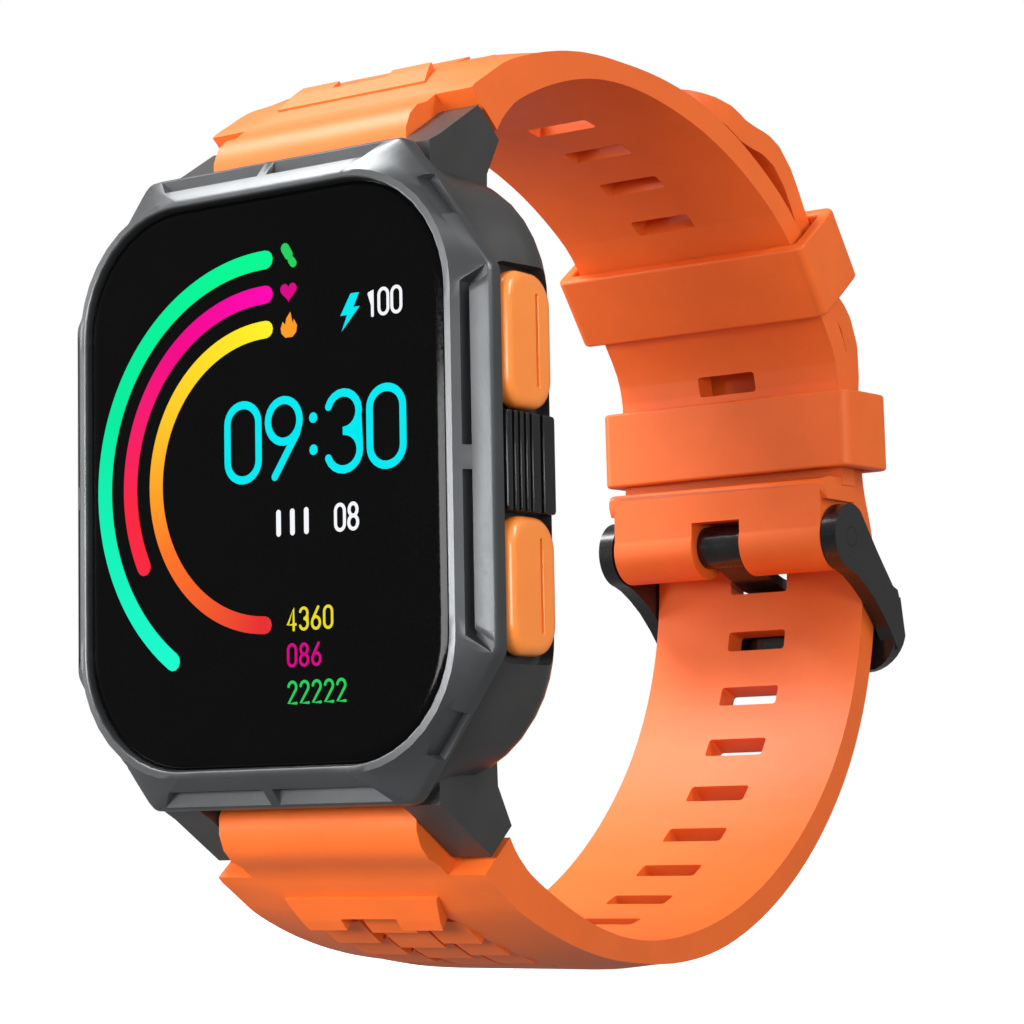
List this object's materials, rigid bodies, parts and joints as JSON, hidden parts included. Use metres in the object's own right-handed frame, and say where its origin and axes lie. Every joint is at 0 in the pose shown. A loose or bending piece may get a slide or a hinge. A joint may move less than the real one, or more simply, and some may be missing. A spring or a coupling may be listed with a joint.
{
  "type": "gps running watch",
  "caption": "Rectangular rugged running watch: octagonal metal bezel, black display, side buttons, slotted rubber strap buckled in a loop.",
  "frame": {"origin": "middle of the sensor window's flat face, where the watch rests on the wrist", "axes": "+Z towards twelve o'clock, +X towards the buttons at three o'clock, +Y out of the case's back, into the strap loop; the display faces -Y"},
  "size_m": [0.0416, 0.0803, 0.0782],
  "materials": {
    "bezel_metal": "satin",
    "front_glass": "gloss",
    "seal_rubber": "matte",
    "display": "gloss",
    "case_black": "satin",
    "button_orange": "gloss",
    "steel": "satin",
    "circuit_board": "gloss",
    "light_metal": "satin",
    "inner_plastic": "matte",
    "contact_metal": "polished",
    "ceramic": "matte",
    "heavy_metal": "satin",
    "cover_black": "matte",
    "sensor_window": "gloss",
    "strap_rubber": "matte",
    "buckle_metal": "satin"
  },
  "bodies": {
    "case": {"bezel": "bezel_metal", "front_glass": "front_glass", "glass_seal": "seal_rubber", "display_panel": "display", "mid_case": "case_black", "side_block": "case_black", "button_seals": "seal_rubber", "key_board": "circuit_board", "inner_frame": "light_metal", "main_board": "circuit_board", "shield_can": "steel", "battery": "light_metal", "speaker": "inner_plastic", "microphone": "contact_metal", "gps_antenna": "ceramic", "motor_housing": "steel", "sensor_board": "circuit_board", "back_seal": "seal_rubber", "back_cover": "cover_black", "sensor_window": "sensor_window", "charging_contacts": "contact_metal", "back_screws": "steel", "top_bar": "steel", "bottom_bar": "steel", "short_strap": "strap_rubber", "long_strap": "strap_rubber", "buckle_bar": "buckle_metal"},
    "upper_button": {"upper_button": "button_orange", "upper_clip": "steel"},
    "lower_button": {"lower_button": "button_orange", "lower_clip": "steel"},
    "top_left_tip": {"top_left_tip": "steel"},
    "top_right_tip": {"top_right_tip": "steel"},
    "bottom_left_tip": {"bottom_left_tip": "steel"},
    "bottom_right_tip": {"bottom_right_tip": "steel"},
    "upper_keeper": {"upper_keeper": "strap_rubber"},
    "lower_keeper": {"lower_keeper": "strap_rubber"},
    "buckle_frame": {"buckle_frame": "buckle_metal"},
    "buckle_tongue": {"buckle_tongue": "buckle_metal"},
    "motor_weight": {"motor_weight": "heavy_metal"}
  },
  "joints": [
    {"name": "upper_button_press", "type": "slide", "parent": "case", "child": "upper_button", "axis": [-1, 0, 0], "range_m": [0, 0.0004], "stiffness_N_per_m": 5000, "springref_m": -0.0002},
    {"name": "lower_button_press", "type": "slide", "parent": "case", "child": "lower_button", "axis": [-1, 0, 0], "range_m": [0, 0.0004], "stiffness_N_per_m": 5000, "springref_m": -0.0002},
    {"name": "top_left_tip_slide", "type": "slide", "parent": "case", "child": "top_left_tip", "axis": [1, 0, 0], "range_m": [0, 0.0012], "stiffness_N_per_m": 900, "springref_m": -0.0008},
    {"name": "top_right_tip_slide", "type": "slide", "parent": "case", "child": "top_right_tip", "axis": [-1, 0, 0], "range_m": [0, 0.0012], "stiffness_N_per_m": 900, "springref_m": -0.0008},
    {"name": "bottom_left_tip_slide", "type": "slide", "parent": "case", "child": "bottom_left_tip", "axis": [1, 0, 0], "range_m": [0, 0.0012], "stiffness_N_per_m": 900, "springref_m": -0.0008},
    {"name": "bottom_right_tip_slide", "type": "slide", "parent": "case", "child": "bottom_right_tip", "axis": [-1, 0, 0], "range_m": [0, 0.0012], "stiffness_N_per_m": 900, "springref_m": -0.0008},
    {"name": "upper_keeper_slide", "type": "slide", "parent": "case", "child": "upper_keeper", "axis": [0, 0.6046, -0.7965], "range_m": [-0.0008, 0.0008]},
    {"name": "lower_keeper_slide", "type": "slide", "parent": "case", "child": "lower_keeper", "axis": [0, 0.0192, -0.9998], "range_m": [-0.0002, 0.0008]},
    {"name": "buckle_frame_hinge", "type": "hinge", "parent": "case", "child": "buckle_frame", "pos_m": [0, 0.0558, -0.00045], "axis": [1, 0, 0], "range_deg": [0, 2]},
    {"name": "buckle_tongue_hinge", "type": "hinge", "parent": "case", "child": "buckle_tongue", "pos_m": [0, 0.0558, -0.00045], "axis": [1, 0, 0], "range_deg": [0, 2]},
    {"name": "motor_spin", "type": "hinge", "parent": "case", "child": "motor_weight", "pos_m": [-0.0106, -0.0071, 0.0065], "axis": [1, 0, 0], "continuous": true}
  ],
  "couplings": [
    {"joint": "buckle_tongue_hinge", "follows": "buckle_frame_hinge", "ratio": 1}
  ]
}
